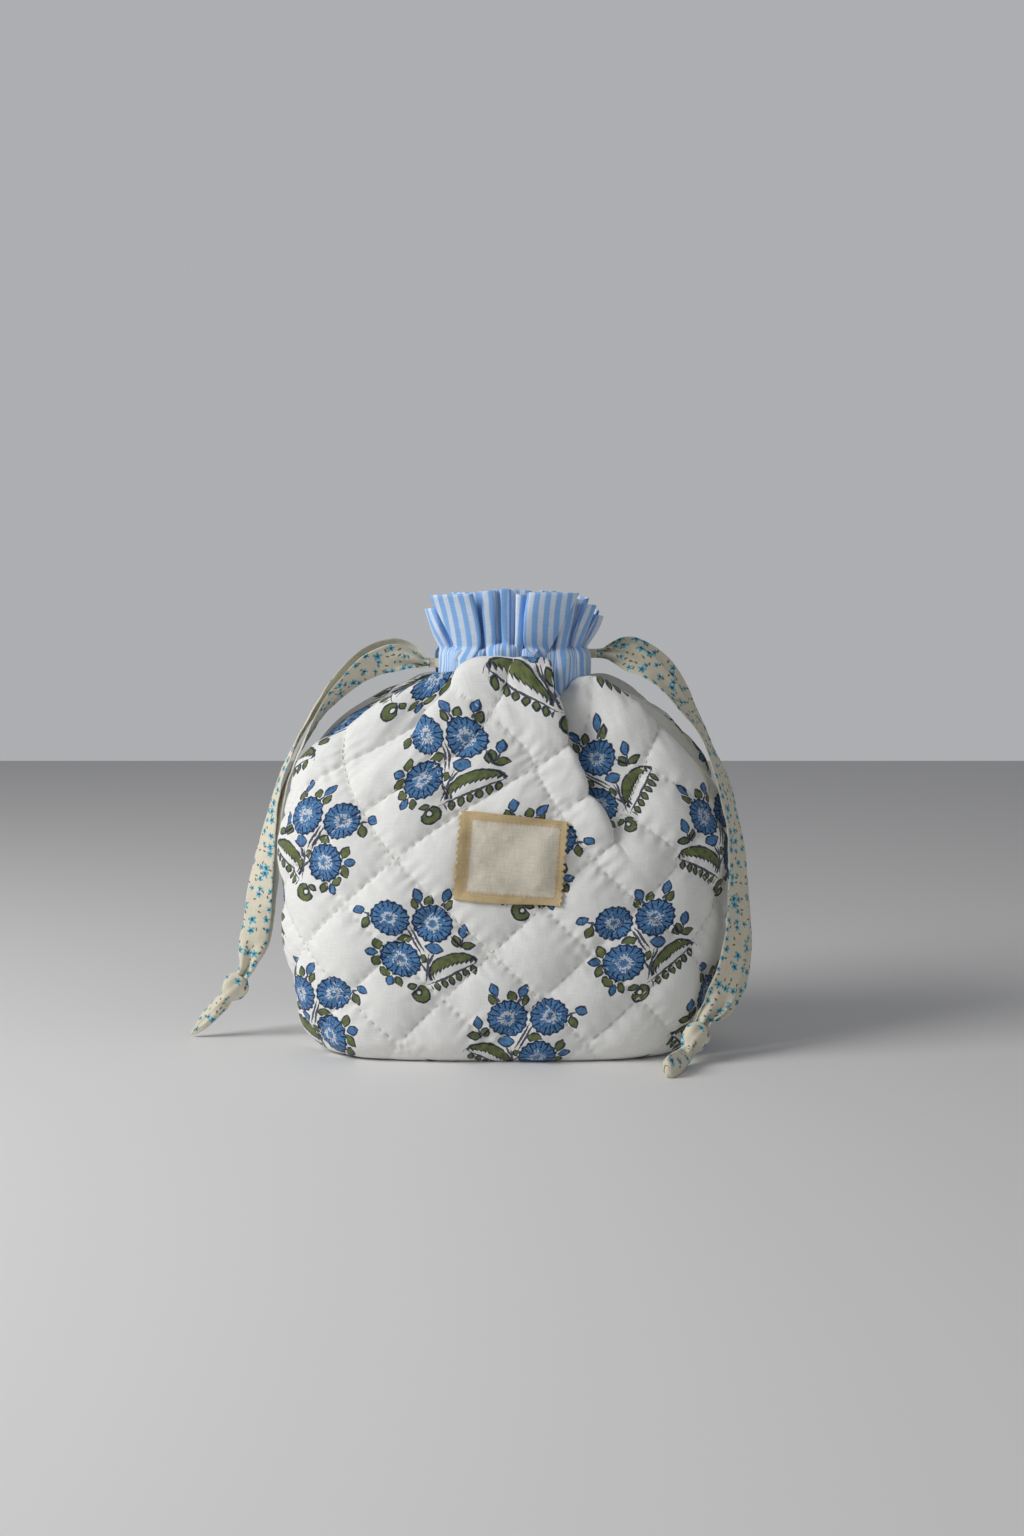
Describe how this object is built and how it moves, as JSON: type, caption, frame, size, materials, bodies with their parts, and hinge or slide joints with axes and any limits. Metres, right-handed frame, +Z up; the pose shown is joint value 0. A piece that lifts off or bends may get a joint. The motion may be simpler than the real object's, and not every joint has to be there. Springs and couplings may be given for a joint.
{
  "type": "toiletry bag",
  "caption": "Quilted cotton drawstring toiletry bag with a gathered striped ruffle, ribbon drawstrings out of both sides and a blank sewn-on label.",
  "frame": {"origin": "middle of the base, on the surface that the bag stands on", "axes": "+Z up, the front with the label faces -Y, +X is to the right as one looks at the front"},
  "size_m": [0.284, 0.1506, 0.2273],
  "materials": {
    "printed_quilt": "white quilted cotton with a blue and olive block print",
    "lining_cotton": "plain woven cotton, matte",
    "striped_cotton": "woven cotton with blue and white stripes, matte",
    "ribbon_cotton": "cream cotton ribbon with small printed flowers",
    "label_cotton": "natural cotton, blank"
  },
  "bodies": {
    "root": {"quilted_front": "printed_quilt", "quilted_back": "printed_quilt", "lining_front": "lining_cotton", "lining_back": "lining_cotton", "band_front": "striped_cotton", "band_back": "striped_cotton", "label": "label_cotton", "left_drawstring_channel": "ribbon_cotton", "left_strand_front": "ribbon_cotton", "left_strand_back": "ribbon_cotton", "left_knot": "ribbon_cotton", "right_drawstring_channel": "ribbon_cotton", "right_strand_front": "ribbon_cotton", "right_strand_back": "ribbon_cotton", "right_knot": "ribbon_cotton"}
  },
  "joints": []
}
